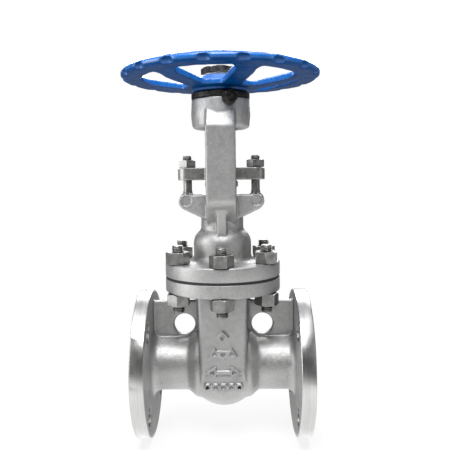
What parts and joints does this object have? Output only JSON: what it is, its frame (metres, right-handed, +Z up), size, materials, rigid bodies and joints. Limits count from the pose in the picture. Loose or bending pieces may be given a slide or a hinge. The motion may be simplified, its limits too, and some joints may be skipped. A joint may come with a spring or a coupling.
{
  "type": "gate valve",
  "caption": "Flanged gate valve with a rising stem, bolted bonnet, outside yoke, swing-bolt gland and a spoked handwheel.",
  "frame": {"origin": "on the floor plane, below the crossing of the stem axis and the flow axis; the flow axis is 76 mm up, at half the end flange diameter", "axes": "+Z up along the stem, +X along the flow towards the outlet flange, front face of the valve towards -Y"},
  "size_m": [0.2, 0.2, 0.381],
  "materials": {
    "cast_stainless": "shot-blasted cast stainless steel, satin, with turned flange rims and faces",
    "trim_steel": "machined stainless steel",
    "fastener_steel": "darker bright-edged stainless fasteners",
    "gasket_black": "matt black graphite sheet",
    "packing_graphite": "braided graphite",
    "black_oxide": "oiled black oxide",
    "bronze": "machined bronze",
    "blue_enamel": "glossy blue enamel over a casting"
  },
  "bodies": {
    "valve": {"body": "cast_stainless", "seat_ring_inlet": "trim_steel", "seat_ring_outlet": "trim_steel", "bonnet": "cast_stainless", "bonnet_gasket": "gasket_black", "bonnet_studs": "fastener_steel", "bonnet_nuts_upper": "fastener_steel", "bonnet_nuts_lower": "fastener_steel", "backseat_bushing": "trim_steel", "packing_rings": "packing_graphite", "eyebolt_pins": "trim_steel", "thrust_washer_lower": "bronze", "thrust_washer_upper": "bronze", "retaining_collar": "black_oxide", "lock_screw": "black_oxide"},
    "gate": {"wedge": "trim_steel", "stem": "trim_steel"},
    "wheel": {"yoke_sleeve": "bronze", "handwheel": "blue_enamel", "handwheel_key": "fastener_steel", "wheel_washer": "fastener_steel", "handwheel_nut": "fastener_steel"},
    "gland": {"gland_follower": "trim_steel", "gland_flange": "cast_stainless"},
    "swing_left": {"eyebolt_left": "trim_steel"},
    "swing_right": {"eyebolt_right": "trim_steel"},
    "nut_left": {"gland_nut_left": "fastener_steel"},
    "nut_right": {"gland_nut_right": "fastener_steel"}
  },
  "joints": [
    {"name": "handwheel_turn", "type": "hinge", "parent": "valve", "child": "wheel", "pos_m": [0, 0, 0.366], "axis": [0, 0, 1], "range_deg": [0, 5040]},
    {"name": "stem_lift", "type": "slide", "parent": "valve", "child": "gate", "axis": [0, 0, 1], "range_m": [0, 0.0561]},
    {"name": "gland_press", "type": "slide", "parent": "valve", "child": "gland", "axis": [0, 0, -1], "range_m": [0, 0.004], "deforming": ["packing_rings"]},
    {"name": "eyebolt_left_swing", "type": "hinge", "parent": "valve", "child": "swing_left", "pos_m": [-0.035, 0, 0.247], "axis": [0, -1, 0], "range_deg": [0, 90]},
    {"name": "eyebolt_right_swing", "type": "hinge", "parent": "valve", "child": "swing_right", "pos_m": [0.035, 0, 0.247], "axis": [0, 1, 0], "range_deg": [0, 90]},
    {"name": "gland_nut_left_run", "type": "slide", "parent": "swing_left", "child": "nut_left", "axis": [0, 0, -1], "range_m": [0, 0.004]},
    {"name": "gland_nut_right_run", "type": "slide", "parent": "swing_right", "child": "nut_right", "axis": [0, 0, -1], "range_m": [0, 0.004]}
  ],
  "couplings": [
    {"joint": "stem_lift", "follows": "handwheel_turn", "m_per_rad": 0.00063662},
    {"joint": "gland_nut_left_run", "follows": "gland_press", "ratio": 1},
    {"joint": "gland_nut_right_run", "follows": "gland_press", "ratio": 1}
  ]
}
